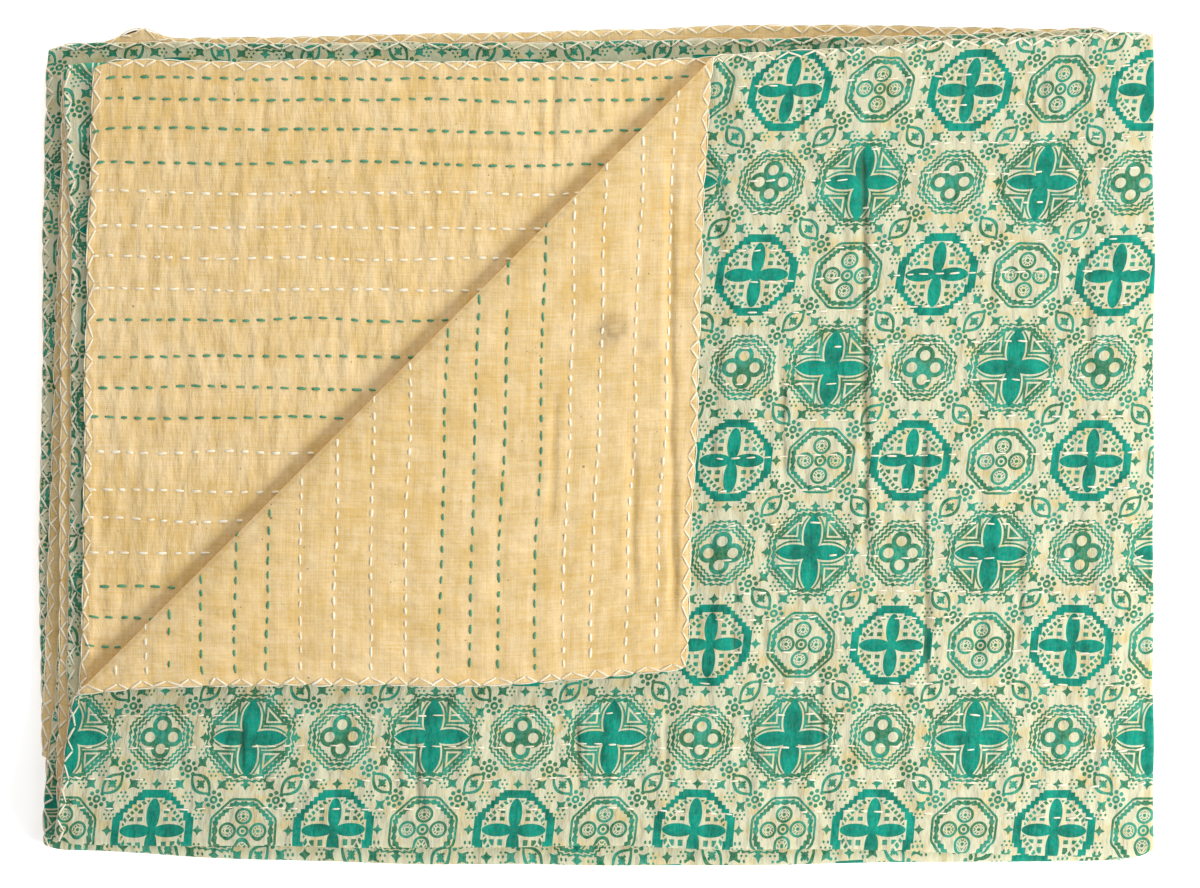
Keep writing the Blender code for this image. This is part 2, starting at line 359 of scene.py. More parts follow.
def clear_of_flap(point):
    """How far a place on the top layer lies outside the turned corner that covers part of it."""
    mirrored_x = point.y + CREASE_OFFSET
    mirrored_y = point.x - CREASE_OFFSET
    share = (mirrored_x - TOP_SIDE_X) / TOP_WIDTH
    hem_x = between(HEM_LINES["first", "over"], (TOP_END_Y - mirrored_y) / TOP_LENGTH)
    end_y = between(TURN_LINES["first_end", "over"], share)
    return max(hem_x - mirrored_x, mirrored_y - end_y, past_crease(point), 0.0)


def zone_of(spot):
    """Which visible part of the pile a place belongs to: print, flap, inner or margin."""
    if spot.run != 0:
        return "margin"
    past = past_crease(spot.point)
    if spot.half == "over":
        return "flap" if past > 0 else "print"
    return "inner" if past > 0 else "margin"


def crease_depth(zone, x, y):
    """How deep the listed creases of a zone are at a place."""
    depth = 0.0
    for crease in CREASES:
        if crease.zone != zone:
            continue
        run_x = crease.end[0] - crease.start[0]
        run_y = crease.end[1] - crease.start[1]
        length = hypot(run_x, run_y)
        way = ((x - crease.start[0]) * run_x + (y - crease.start[1]) * run_y) / length
        if not -0.01 < way < length + 0.01:
            continue
        aside = ((x - crease.start[0]) * run_y - (y - crease.start[1]) * run_x) / length
        aside += 0.0024 * wobble(way / 0.034, crease.start[0] * 90, 4.2)
        if abs(aside) > 6 * crease.width:
            continue
        fade = soft_step((way + 0.01) / 0.03) * soft_step((length + 0.01 - way) / 0.03)
        trough = exp(-((aside / crease.width) ** 2))
        shoulder = exp(-(((abs(aside) - 2.2 * crease.width) / (1.3 * crease.width)) ** 2))
        depth += crease.depth * fade * (trough - 0.45 * shoulder)
    return depth


def row_hollow(along, rows):
    """How far the rows of stitching pull the cloth down at a place, from 0 to 1."""
    nearest = min(abs(along - row[0]) for row in rows)
    return 1 - soft_step(nearest / 0.0075)


def puckers(across, along, rows, seed):
    """The small puckers that lie square to the rows of stitching."""
    broad = wobble(across / 0.0135, along / 0.046, seed)
    fine = wobble(across / 0.0062, along / 0.021, seed + 7)
    ridge = 1 - 2.4 * abs(wobble(across / 0.0095, along / 0.038, seed + 3))
    slow = wobble(across / 0.060, along / 0.050, seed + 11)
    swell = 1 - row_hollow(along, rows)
    return 0.00060 * broad + 0.00036 * fine + 0.00044 * ridge + 0.00034 * slow + 0.00040 * swell


def hem_inset(across, along):
    """Distance from the nearest free edge."""
    return min(across, FLAT_WIDTH - across, along, FLAT_LENGTH - along)


def hem_rise(inset, place):
    """The turned-in edge stands a little higher, and is pinched where the thread goes over it."""
    if inset > 0.02:
        return 0.0
    pinch = 0.6 + 0.4 * abs(sin(pi * place / HEM_PITCH))
    band = 1 - soft_step((inset - HEM_BAND * 0.7) / 0.004)
    groove = exp(-(((inset - HEM_BAND * 1.25) / 0.0018) ** 2))
    return 0.00034 * band * pinch - 0.00025 * groove


def rise(across, along, spot):
    """How far the quilt stands up from its pressed height at a place."""
    zone = zone_of(spot)
    inset = hem_inset(across, along)
    if zone == "margin":
        wave = wobble(across / 0.024, along / 0.024, 1.5)
        return 0.00028 * wave * (1 - soft_step((inset - 0.02) / 0.02))
    point = spot.point
    past = past_crease(point)
    if zone == "print":
        free = soft_step(-past / 0.02) * soft_step((clear_of_flap(point) - 0.001) / 0.012)
        free *= soft_step((point.y + 0.272) / 0.02) * soft_step((0.383 - point.x) / 0.02)
    elif zone == "flap":
        free = soft_step((past - CREASE_ROLL * 0.7) / 0.016)
        point = turn_back(point)
    else:
        free = soft_step((past - 0.003) / 0.02)
    least, strength, rows, seed = PUCKERING[zone]
    swell = least + strength * puckers(across, along, rows, seed)
    by_side = min(across, FLAT_WIDTH - across) < min(along, FLAT_LENGTH - along)
    hem = hem_rise(inset, along if by_side else across)
    return max(0.0, free * (swell - crease_depth(zone, point.x, point.y) + hem))


def ripple(place, seed):
    """How far a free edge bulges out between the points where its thread pulls it in."""
    scallop = abs(sin(pi * place / HEM_PITCH)) - 0.6
    return 0.0007 * scallop + 0.0011 * wobble(place / 0.030, seed, 0.4)


def rippled(across, along):
    """The flat place, moved a little sideways near the free edges."""
    reach = 0.03
    from_start = 1 - soft_step(across / reach)
    from_far_side = 1 - soft_step((FLAT_WIDTH - across) / reach)
    from_first = 1 - soft_step(along / reach)
    from_last = 1 - soft_step((FLAT_LENGTH - along) / reach)
    corner = EDGE_CORNER * max(from_start, from_far_side) ** 3 * max(from_first, from_last) ** 3
    across += corner if across < FLAT_WIDTH / 2 else -corner
    along += corner if along < FLAT_LENGTH / 2 else -corner
    moved_across = across - ripple(along, 1.0) * from_start + ripple(along, 2.0) * from_far_side
    moved_along = along - ripple(across, 3.0) * from_first + ripple(across, 4.0) * from_last
    return moved_across, moved_along


def settle(across, along, offset, hidden=False):
    """Where a point of the quilt lies in the finished pile. A positive offset is towards the print. Cloth
    that is hidden stays flatter, under the one that shows."""
    spot = lay(*rippled(across, along), offset)
    point = spot.point
    if spot.run == 0 and spot.half == "over":
        point = turn_back(point)
    height = rise(across, along, spot)
    if hidden:
        height *= 1 - soft_step((hem_inset(across, along) - 0.004) / 0.024)
    point = point.copy()
    point.z = max(point.z * loft(point) + height, LOWEST_HEIGHT)
    return point + FOOTPRINT_SHIFT


def clip(value, low, high):
    return min(max(value, low), high)


def print_place(across, along):
    """Where a point lies on the printed pattern, in millimetres."""
    run_length = RUN_LENGTHS[0]
    on_top = lay(min(across, HALF_WIDTH), min(along, run_length), 0.0).point
    x = 1000 * (on_top.x + max(across - HALF_WIDTH, 0.0))
    y = 1000 * (on_top.y - max(along - run_length, 0.0))
    up = y - FIRST_MEDALLION[1]
    rows_up = clip(up / (2 * MEDALLION_STEP_Y), -1.0, 4.6)
    lean = PRINT_LEAN[0] * rows_up + PRINT_LEAN[1] * rows_up**3
    stray_x = PRINT_STRAY * wobble(x / PRINT_STRAY_LENGTH, y / PRINT_STRAY_LENGTH, 0.3)
    stray_y = PRINT_STRAY * wobble(x / PRINT_STRAY_LENGTH, y / PRINT_STRAY_LENGTH, 8.3)
    return x - FIRST_MEDALLION[0] - lean + stray_x, up + stray_y


# ---------------------------------------------------------------- cutting and laying the cloths

FLAT_SQUARE = 0.0142
VISIBLE_CUTS = 4  # extra cuts in each flat square where a cloth shows
MARGIN_CUTS = 2
MARGIN_WIDTH = 0.026
TURN_LEAD = 0.004  # a cut this far before and after each turn
TURN_STEPS = 8
CREASE_STEPS = 12
CREASE_MARGIN = 0.012  # the print shows this far inside the crease


def even_stations(start, end, spacing):
    steps = max(1, round((end - start) / spacing))
    return [start + (end - start) * step / steps for step in range(1, steps)]


def hem_stations(length, turns):
    """Stations from one turned-in edge to the other, with the folds of the cloth between them."""
    places = []
    place = HEM_PROFILE[-1].inset
    for start, turn_length in turns:
        places += even_stations(place, start - TURN_LEAD, FLAT_SQUARE)
        places.append(start - TURN_LEAD)
        places += [start + turn_length * step / TURN_STEPS for step in range(TURN_STEPS + 1)]
        place = start + turn_length + TURN_LEAD
        places.append(place)
    places += even_stations(place, length - HEM_PROFILE[-1].inset, FLAT_SQUARE)
    far_edge = [HemStation(length - station.inset, station.share) for station in reversed(HEM_PROFILE)]
    return [*HEM_PROFILE, *(HemStation(place, 1.0) for place in places), *far_edge]


def cross_turns():
    turns = []
    start = 0.0
    for length in RUN_LENGTHS[:-1]:
        start += length
        turns.append((start, CROSS_TURN_LENGTH))
        start += CROSS_TURN_LENGTH
    return turns


def shows(side, across, along):
    """How finely a flat place is cut on one side of the quilt: 2 where it shows, 1 in the margins, else 0."""
    spot = lay(across, along, 0.0)
    zone = zone_of(spot)
    past = past_crease(spot.point)
    seen = zone == "print" and past > -CREASE_MARGIN
    if side > 0:
        seen = seen or (zone == "print" and clear_of_flap(spot.point) > 0.0)
        seen = seen or (zone == "flap" and past < CREASE_ROLL)
    else:
        seen = seen or zone in ("flap", "inner")
    if seen:
        return 2
    return 1 if hem_inset(across, along) < MARGIN_WIDTH else 0


def cut_finer(cloth, side):
    """Divides the flat cloth's squares where they will show."""
    wanted = {1: [], 2: []}
    for face in cloth.faces:
        middle = face.calc_center_median()
        if middle.z > 0.99:
            level = shows(side, middle.x, middle.y)
            if level:
                wanted[level].append(face)
    edges = {edge for face in wanted[2] for edge in face.edges}
    bmesh.ops.subdivide_edges(cloth, edges=list(edges), cuts=VISIBLE_CUTS, use_grid_fill=True)
    margin = [face for face in wanted[1] if face.is_valid and len(face.verts) == 4]
    edges = {edge for face in margin for edge in face.edges}
    bmesh.ops.subdivide_edges(cloth, edges=list(edges), cuts=MARGIN_CUTS, use_grid_fill=True)


def score_crease(cloth):
    """Cuts the top layer along lines that follow the roll of the turned corner."""
    beside_crease = [
        face
        for face in cloth.faces
        if face.verts[0].co.z > TOP_LAYER_HEIGHT - LAYER_PITCH / 2
        and -0.03 < past_crease(face.verts[0].co) < CREASE_ROLL + 0.03
    ]
    for step in range(CREASE_STEPS + 1):
        line = Vector((CREASE_OFFSET, 0, 0)) + TOWARDS_CORNER * CREASE_ROLL * step / CREASE_STEPS
        edges = {edge for face in beside_crease for edge in face.edges}
        verts = {vert for face in beside_crease for vert in face.verts}
        cut = bmesh.ops.bisect_plane(
            cloth,
            geom=beside_crease + list(edges) + list(verts),
            dist=1e-6,
            plane_co=line,
            plane_no=TOWARDS_CORNER,
        )
        beside_crease = [item for item in cut["geom"] if isinstance(item, bmesh.types.BMFace)]


def squeeze(place, spans):
    """Packs a length into 0 to 1, giving each span the share it is listed with."""
    packed = 0.0
    start = 0.0
    for end, room in spans:
        if place <= end:
            return packed + room * (place - start) / (end - start)
        packed += room
        start = end
    return packed


# What shows of each cloth gets most of the room in its bake map, across and along.
PRINT_ROOM = (((HALF_WIDTH, 0.80), (FLAT_WIDTH, 0.20)), ((RUN_LENGTHS[0], 0.74), (FLAT_LENGTH, 0.26)))
YELLOW_SHOWN = 0.455
YELLOW_ROOM = (
    ((YELLOW_SHOWN, 0.44), (FLAT_WIDTH - YELLOW_SHOWN, 0.12), (FLAT_WIDTH, 0.44)),
    ((YELLOW_SHOWN, 0.78), (FLAT_LENGTH, 0.22)),
)


def folded_sheet(name, side, room):
    """One cloth of the quilt as a sheet with turned-in edges. side is 1 for the print, -1 for the yellow."""
    across = hem_stations(FLAT_WIDTH, [(HALF_WIDTH, SIDE_TURN_LENGTH)])
    along = hem_stations(FLAT_LENGTH, cross_turns())
    cloth = bmesh.new()
    bmesh.ops.create_grid(cloth, x_segments=len(across) - 1, y_segments=len(along) - 1, size=0.5)
    for vert in cloth.verts:
        column = across[round((vert.co.x + 0.5) * (len(across) - 1))]
        row = along[round((vert.co.y + 0.5) * (len(along) - 1))]
        vert.co = (column.inset, row.inset, min(column.share, row.share))
    cut_finer(cloth, side)

    flat = cloth.verts.layers.float_vector.new("flat")
    face_offset = side * QUILT_THICKNESS / 2
    for vert in cloth.verts:
        vert[flat] = vert.co
        vert.co = lay(vert.co.x, vert.co.y, face_offset * vert.co.z).point
    score_crease(cloth)
    places = {}
    for vert in cloth.verts:
        across_place, along_place, share = vert[flat]
        places[vert] = (across_place, along_place)
        zone = zone_of(lay(across_place, along_place, 0.0))
        hidden = zone in (("flap", "inner") if side > 0 else ("print",))
        vert.co = settle(across_place, along_place, face_offset * share, hidden)

    cloth_map = cloth.loops.layers.uv.new("Cloth")
    print_map = cloth.loops.layers.uv.new("Print")
    bake_map = cloth.loops.layers.uv.new("OFBake")
    prints = {vert: print_place(*place) for vert, place in places.items()}
    for face in cloth.faces:
        face.smooth = True
        for loop in face.loops:
            place = places[loop.vert]
            loop[cloth_map].uv = place
            loop[print_map].uv = prints[loop.vert]
            loop[bake_map].uv = (squeeze(place[0], room[0]), squeeze(place[1], room[1]))
    if side > 0:
        bmesh.ops.reverse_faces(cloth, faces=cloth.faces)
    return finished(name, cloth)


def finished(name, mesh):
    """Turns a bmesh into a piece that stands in the scene, in place of an earlier one of its name."""
    old = bpy.data.objects.get(name)
    if old:
        bpy.data.objects.remove(old)
    data = bpy.data.meshes.new(name)
    mesh.to_mesh(data)
    mesh.free()
    piece = bpy.data.objects.new(name, data)
    bpy.context.scene.collection.objects.link(piece)
    return piece


# ---------------------------------------------------------------- materials

PRINT_CRINKLE = 0.0034
YELLOW_CRINKLE = 0.0026
# How strongly shade is painted into the colour along the creases, on the print and on the yellow cloth.
PRINT_CREASE_SHADE = 0.42
YELLOW_CREASE_SHADE = 0.45
CREASE_GROOVE = -0.30  # beside crinkles of about 0 to 1
CREASE_WANDER = 0.009
CREASE_END = 0.022  # a crease fades out over this length
DEEPEST_CREASE = max(crease.depth for crease in CREASES)

class Recipe:
    """A material's nodes, added one by one and joined to what feeds them."""

    def __init__(self, name):
        old = bpy.data.materials.get(name)
        if old:
            bpy.data.materials.remove(old)
        self.material = bpy.data.materials.new(name)
        self.material.use_nodes = True
        self.nodes = self.material.node_tree.nodes
        self.links = self.material.node_tree.links
        self.shader = self.nodes["Principled BSDF"]

    def feed(self, socket, value):
        if isinstance(value, bpy.types.NodeSocket):
            self.links.new(value, socket)
        else:
            socket.default_value = value

    def sum(self, operation, *values):
        node = self.nodes.new("ShaderNodeMath")
        node.operation = operation
        for socket, value in zip(node.inputs, values):
            self.feed(socket, value)
        return node.outputs[0]

    def add(self, first, second):
        return self.sum("ADD", first, second)

    def less(self, first, second):
        return self.sum("SUBTRACT", first, second)

    def times(self, first, second):
        return self.sum("MULTIPLY", first, second)

    def scaled(self, value, factor, start):
        return self.sum("MULTIPLY_ADD", value, factor, start)

    def size(self, value):
        return self.sum("ABSOLUTE", value)

    def mirrored(self, value, length):
        """The value going up and down between 0 and the length."""
        return self.sum("PINGPONG", value, length)

    def least(self, first, second):
        return self.sum("MINIMUM", first, second)

    def most(self, *values):
        result = values[0]
        for value in values[1:]:
            result = self.sum("MAXIMUM", result, value)
        return result

    # Two masks overlap where both are 1, and either is 1 where one of them is.
    both = times
    either = most

    def near(self, value, middle, reach):
        """1 where the value lies within reach of the middle."""
        return self.sum("COMPARE", value, middle, reach)

    def below(self, value, limit):
        return self.sum("LESS_THAN", value, limit)

    def above(self, value, limit):
        return self.sum("GREATER_THAN", value, limit)

    def distance(self, first, second):
        """Distance from the origin of a place given by two numbers."""
        return self.sum("SQRT", self.scaled(second, second, self.times(first, first)))

    def choose(self, factor, first, second):
        node = self.nodes.new("ShaderNodeMix")
        node.data_type = "FLOAT"
        self.feed(node.inputs[0], factor)
        self.feed(node.inputs[2], first)
        self.feed(node.inputs[3], second)
        return node.outputs[0]

    def blend(self, factor, first, second):
        """A mix of two colours. Each is what another node gives, or plain red, green and blue."""
        node = self.nodes.new("ShaderNodeMix")
        node.data_type = "RGBA"
        self.feed(node.inputs[0], factor)
        for socket, colour in ((node.inputs[6], first), (node.inputs[7], second)):
            self.feed(socket, colour if isinstance(colour, bpy.types.NodeSocket) else (*colour, 1.0))
        return node.outputs[2]

    def level(self, value, low, high, new_low=0.0, new_high=1.0):
        node = self.nodes.new("ShaderNodeMapRange")
        node.interpolation_type = "SMOOTHSTEP"
        for socket, number in zip(node.inputs, (value, low, high, new_low, new_high)):
            self.feed(socket, number)
        return node.outputs[0]

    def place(self, name):
        node = self.nodes.new("ShaderNodeUVMap")
        node.uv_map = name
        return node.outputs[0]

    def split(self, vector):
        node = self.nodes.new("ShaderNodeSeparateXYZ")
        self.feed(node.inputs[0], vector)
        return node.outputs[0], node.outputs[1]

    def clouds(self, vector, scale, detail=2.0, roughness=0.5):
        node = self.nodes.new("ShaderNodeTexNoise")
        self.feed(node.inputs["Vector"], vector)
        node.inputs["Scale"].default_value = scale
        node.inputs["Detail"].default_value = detail
        node.inputs["Roughness"].default_value = roughness
        return node.outputs[0]

    def streaks(self, vector, across, along, detail=2.0, roughness=0.5, start=(0.0, 0.0, 0.0)):
        """Clouds with a scale of their own in each direction."""
        node = self.nodes.new("ShaderNodeMapping")
        self.feed(node.inputs["Vector"], vector)
        node.inputs["Location"].default_value = start
        node.inputs["Scale"].default_value = (across, along, 1.0)
        return self.clouds(node.outputs[0], 1.0, detail, roughness)

    def bump(self, height, strength, distance):
        node = self.nodes.new("ShaderNodeBump")
        node.inputs["Strength"].default_value = strength
        node.inputs["Distance"].default_value = distance
        self.feed(node.inputs["Height"], height)
        self.links.new(node.outputs[0], self.shader.inputs["Normal"])


def four_around(mix, dx, dy, reach):
    """Distance to the nearest of four points that lie to each side at a reach."""
    beside = mix.distance(mix.less(dx, reach), dy)
    return mix.least(beside, mix.distance(dx, mix.less(dy, reach)))


def ring_medallion(mix, dx, dy, octagon, stepped):
    """A cross of four petals and rows of small blocks, inside a thick octagonal ring with stepped sides."""
    along_y = mix.times(mix.less(dy, 11.6), 1 / 10.9)
    along_x = mix.times(mix.less(dx, 11.6), 1 / 10.9)
    slim_x = mix.times(dx, 1 / 4.7)
    slim_y = mix.times(dy, 1 / 4.7)
    upright = mix.distance(slim_x, along_y)
    level = mix.distance(slim_y, along_x)
    petal = mix.least(upright, level)
    cross = mix.either(mix.below(petal, 1.0), mix.below(mix.add(dx, dy), 4.6))
    ring = mix.near(stepped, 25.6, 2.8)
    block_x = mix.above(mix.mirrored(dx, 3.0), 1.3)
    block_y = mix.above(mix.mirrored(dy, 2.7), 1.25)
    inside = mix.both(mix.below(octagon, 17.6), mix.above(petal, 1.32))
    blocks = mix.both(mix.both(block_x, block_y), inside)
    beads = mix.above(mix.mirrored(mix.less(dx, dy), 2.4), 0.95)
    bead_ring = mix.both(mix.both(mix.near(octagon, 19.9, 1.3), beads), mix.above(petal, 1.1))
    return mix.either(cross, ring), mix.either(blocks, bead_ring)


def flower_medallion(mix, dx, dy, octagon, wavy):
    """A ringed flower with four outlined petals, inside an octagon of one thin and one wavy line."""
    outer = mix.near(octagon, 22.5, 0.85)
    inner = mix.near(wavy, 19.3, 1.5)
    radius = mix.distance(dx, dy)
    heart = mix.either(mix.near(radius, 3.3, 0.95), mix.below(radius, 1.3))
    petal = four_around(mix, dx, dy, 10.6)
    petals = mix.either(mix.near(petal, 5.1, 0.95), mix.below(petal, 1.2))
    pips = mix.both(mix.near(petal, 2.9, 0.7), mix.above(mix.mirrored(mix.add(dx, dy), 1.2), 0.6))
    return mix.either(outer, inner, heart, petals, pips)


def knot_medallion(mix, dx, dy, wavy):
    """Four open lobes round a cross, inside three wavy lines."""
    lobe = four_around(mix, dx, dy, 8.3)
    lobes = mix.either(mix.near(lobe, 5.2, 1.6), mix.below(mix.add(dx, dy), 4.0))
    lines = mix.either(mix.near(wavy, 22.0, 0.8), mix.near(wavy, 18.9, 1.05), mix.near(wavy, 16.0, 0.75))
    return mix.either(lobes, lines)


def leaf_medallion(mix, dx, dy, wavy):
    """Four broad pointed leaves with thin outlines and stepped corners, inside two wavy lines."""
    up_way = mix.times(mix.less(dy, 12.4), 1 / 14.3)
    side_way = mix.times(mix.less(dx, 11.8), 1 / 13.8)
    up_taper = mix.sum("POWER", mix.size(up_way), 2.5)
    side_taper = mix.sum("POWER", mix.size(side_way), 2.5)
    up_width = mix.scaled(up_taper, 6.4, -6.4)
    side_width = mix.scaled(side_taper, 5.3, -5.3)
    leaf = mix.least(mix.add(dx, up_width), mix.add(dy, side_width))
    leaves = mix.below(leaf, 0.0)
    veins = mix.both(mix.near(leaf, 1.95, 0.72), mix.below(wavy, 24.5))
    corner = mix.least(mix.less(dx, 8.6), mix.less(dy, 8.6))
    slope = mix.times(mix.less(34.5, mix.add(dx, dy)), 0.7)
    corner = mix.least(corner, slope)
    corners = mix.either(mix.near(corner, 0.9, 0.85), mix.above(corner, 3.0))
    lines = mix.either(mix.near(wavy, 29.6, 0.8), mix.near(wavy, 26.4, 1.35))
    return leaves, mix.either(veins, corners, lines)


def dot_cluster(mix, dx, dy, middle_x, middle_y):
    """Seven dots close together."""
    a = mix.size(mix.less(dx, middle_x))
    b = mix.size(mix.less(dy, middle_y))
    slant = mix.distance(mix.less(a, 1.6), mix.less(b, 2.8))
    level = mix.distance(mix.less(a, 3.2), b)
    return mix.below(mix.least(slant, mix.least(level, mix.distance(a, b))), 0.82)


def small_square(mix, a, b):
    """A square with hollow sides, from distances to its middle."""
    low = mix.least(a, b)
    high = mix.most(a, b)
    return mix.below(mix.scaled(low, -0.36, high), 2.25)


def small_diamond(mix, a, b):
    """A diamond with hollow sides, from distances to its middle."""
    low = mix.least(a, b)
    return mix.below(mix.scaled(low, 0.9, mix.add(a, b)), 3.9)


def fillings(mix, dx, dy, cell_x, cell_y, odd):
    """The small figures between the medallions. odd is 1 in the quarters beside flowers and knots."""
    eye_x = mix.less(MEDALLION_STEP_X / 2, dx)
    eye_y = mix.less(MEDALLION_STEP_Y / 2, dy)
    side_x = mix.less(cell_x, MEDALLION_STEP_X / 2)
    side_y = mix.less(cell_y, MEDALLION_STEP_Y / 2)
    lengthwise = mix.times(mix.less(side_x, side_y), 0.0707)
    crosswise = mix.times(mix.size(mix.add(side_x, side_y)), 0.7071)
    eye = mix.scaled(mix.times(lengthwise, lengthwise), 6.6, crosswise)
    star = mix.both(
        mix.below(mix.size(mix.less(eye_x, eye_y)), 1.2),
        mix.below(mix.add(eye_x, eye_y), 5.2),
    )
    eyes = mix.either(mix.near(eye, 5.3, 1.2), star, mix.below(mix.add(eye_x, eye_y), 2.8))

    bloom_x = mix.size(mix.less(dx, 21.6))
    bloom_y = mix.size(mix.less(dy, 21.8))
    near_dots = four_around(mix, bloom_x, bloom_y, 5.2)
    far_dots = mix.distance(mix.less(bloom_x, 3.7), mix.less(bloom_y, 3.7))
    bloom = mix.either(
        mix.below(mix.least(near_dots, far_dots), 1.5),
        mix.near(mix.distance(bloom_x, bloom_y), 1.9, 0.9),
    )
    specks = dot_cluster(mix, dx, dy, 23.0, 23.6)
    corner = mix.choose(odd, specks, bloom)

    squares = mix.either(
        small_square(mix, mix.size(mix.less(eye_x, 15.0)), eye_y),
        small_square(mix, eye_x, mix.size(mix.less(eye_y, 15.0))),
    )
    diamonds = mix.either(small_diamond(mix, eye_x, dy), small_diamond(mix, dx, eye_y))
    upper = dot_cluster(mix, dx, dy, MEDALLION_STEP_X / 2, 11.2)
    lower = dot_cluster(mix, dx, dy, 11.2, MEDALLION_STEP_Y / 2)
    return mix.either(eyes, corner, squares, diamonds, upper, lower)


def printed_cotton(settings):
    mix = Recipe("printed_cotton_cloth")
    pattern = mix.place("Print")
    cloth = mix.place("Cloth")
    spread_x, spread_y = mix.split(pattern)
    cell_x = mix.mirrored(spread_x, MEDALLION_STEP_X)
    cell_y = mix.mirrored(spread_y, MEDALLION_STEP_Y)
    dx = mix.mirrored(spread_x, MEDALLION_STEP_X / 2)
    dy = mix.mirrored(spread_y, MEDALLION_STEP_Y / 2)
    right = mix.above(cell_x, MEDALLION_STEP_X / 2)
    upper = mix.above(cell_y, MEDALLION_STEP_Y / 2)
    odd = mix.size(mix.less(right, upper))

    widest = mix.most(dx, dy)
    slanting = mix.times(mix.add(dx, dy), 1 / 1.38)
    rounded = mix.times(mix.distance(dx, dy), 0.955)
    octagon = mix.most(widest, slanting, rounded)
    step_x = mix.sum("SNAP", mix.add(dx, 1.4), 2.8)
    step_y = mix.sum("SNAP", mix.add(dy, 1.4), 2.8)
    stepped_round = mix.times(mix.distance(step_x, step_y), 0.955)
    stepped = mix.most(stepped_round, widest, mix.times(mix.add(step_x, step_y), 1 / 1.38))
    wave = mix.mirrored(mix.less(dx, dy), 2.5)
    wavy = mix.scaled(wave, 0.50, mix.less(octagon, 0.62))

    ring_fill, ring_lines = ring_medallion(mix, dx, dy, octagon, stepped)
    leaf_fill, leaf_lines = leaf_medallion(mix, dx, dy, wavy)
    flower = flower_medallion(mix, dx, dy, octagon, wavy)
    knot = knot_medallion(mix, dx, dy, wavy)
    fill = mix.choose(upper, mix.choose(right, ring_fill, 0.0), mix.choose(right, 0.0, leaf_fill))
    lines = mix.choose(upper, mix.choose(right, ring_lines, flower), mix.choose(right, knot, leaf_lines))
    between_medallions = fillings(mix, dx, dy, cell_x, cell_y, odd)
    lines = mix.either(lines, between_medallions)

    faint = mix.clouds(cloth, 420.0, 3.0, 0.6)
    wash = mix.clouds(cloth, 55.0, 3.0, 0.6)
    tint = mix.clouds(cloth, 62.0, 4.0, 0.65)
    ground = mix.blend(mix.level(tint, 0.45, 0.70), settings.ground, settings.ground_tint)
    ground = mix.blend(mix.level(faint, 0.35, 0.75, 0.0, 0.35), ground, settings.ground_shade)
    line_ink = mix.blend(mix.level(wash, 0.40, 0.62), settings.line_ink, settings.bright_ink)
    fill_ink = mix.blend(mix.level(wash, 0.35, 0.68), settings.fill_ink, settings.deep_ink)
    line_weight = mix.times(lines, mix.level(faint, 0.30, 0.70, 1.0, 0.86))
    fill_weight = mix.times(fill, mix.level(faint, 0.30, 0.75, 1.0, 0.95))
    colour = mix.blend(line_weight, ground, line_ink)
    colour = mix.blend(fill_weight, colour, fill_ink)
    marks = crease_marks(mix, ("print",))
    # Painted shade: the colour is darkened towards crease_shade along the pressed creases.
    colour = mix.blend(mix.times(marks, PRINT_CREASE_SHADE), colour, settings.crease_shade)
    mix.feed(mix.shader.inputs["Base Color"], colour)
    finish_cotton(mix, cloth, PRINT_CRINKLE, marks)
    return mix.material


def crease_marks(mix, zones):
    """1 along the pressed creases of some zones, falling to 0 a little way to each side."""
    coords = mix.nodes.new("ShaderNodeTexCoord").outputs["Object"]
    x, y = mix.split(coords)
    wander = mix.times(mix.less(mix.streaks(coords, 8.0, 24.0), 0.5), CREASE_WANDER)
    marks = None
    for crease in CREASES:
        if crease.zone not in zones:
            continue
        start = Vector(crease.start) + FOOTPRINT_SHIFT.to_2d()
        run = Vector(crease.end) - Vector(crease.start)
        length = run.length
        run.normalize()
        from_start = mix.scaled(x, run.x, -start.dot(run))
        way = mix.scaled(y, run.y, from_start)
        sideways = mix.scaled(x, run.y, start.y * run.x - start.x * run.y)
        aside = mix.scaled(y, -run.x, sideways)
        aside = mix.size(mix.add(aside, wander))
        middle = mix.size(mix.less(way, length / 2))
        inside = mix.level(middle, length / 2, length / 2 - CREASE_END)
        deep = crease.depth / DEEPEST_CREASE
        mark = mix.both(mix.level(aside, crease.width * 1.5, 0.0, 0.0, deep), inside)
        marks = mark if marks is None else mix.either(marks, mark)
    return marks


def finish_cotton(mix, cloth, crinkle, marks):
    """Roughness, sheen, and the yarns, crinkles and pressed creases that both cloths share."""
    weft = mix.streaks(cloth, 160.0, 1500.0)
    warp = mix.streaks(cloth, 1500.0, 160.0)
    crumple = mix.streaks(cloth, 105.0, 42.0, 3.0)
    yarns = mix.add(weft, warp)
    height = mix.scaled(yarns, 0.06, crumple)
    height = mix.scaled(marks, CREASE_GROOVE, height)
    mix.bump(height, 1.0, crinkle)
    mix.feed(mix.shader.inputs["Roughness"], mix.level(yarns, 0.6, 1.4, 0.82, 0.95))
    mix.shader.inputs["Sheen Weight"].default_value = 0.01
    mix.shader.inputs["Sheen Roughness"].default_value = 0.6
    mix.shader.inputs["Specular IOR Level"].default_value = 0.05


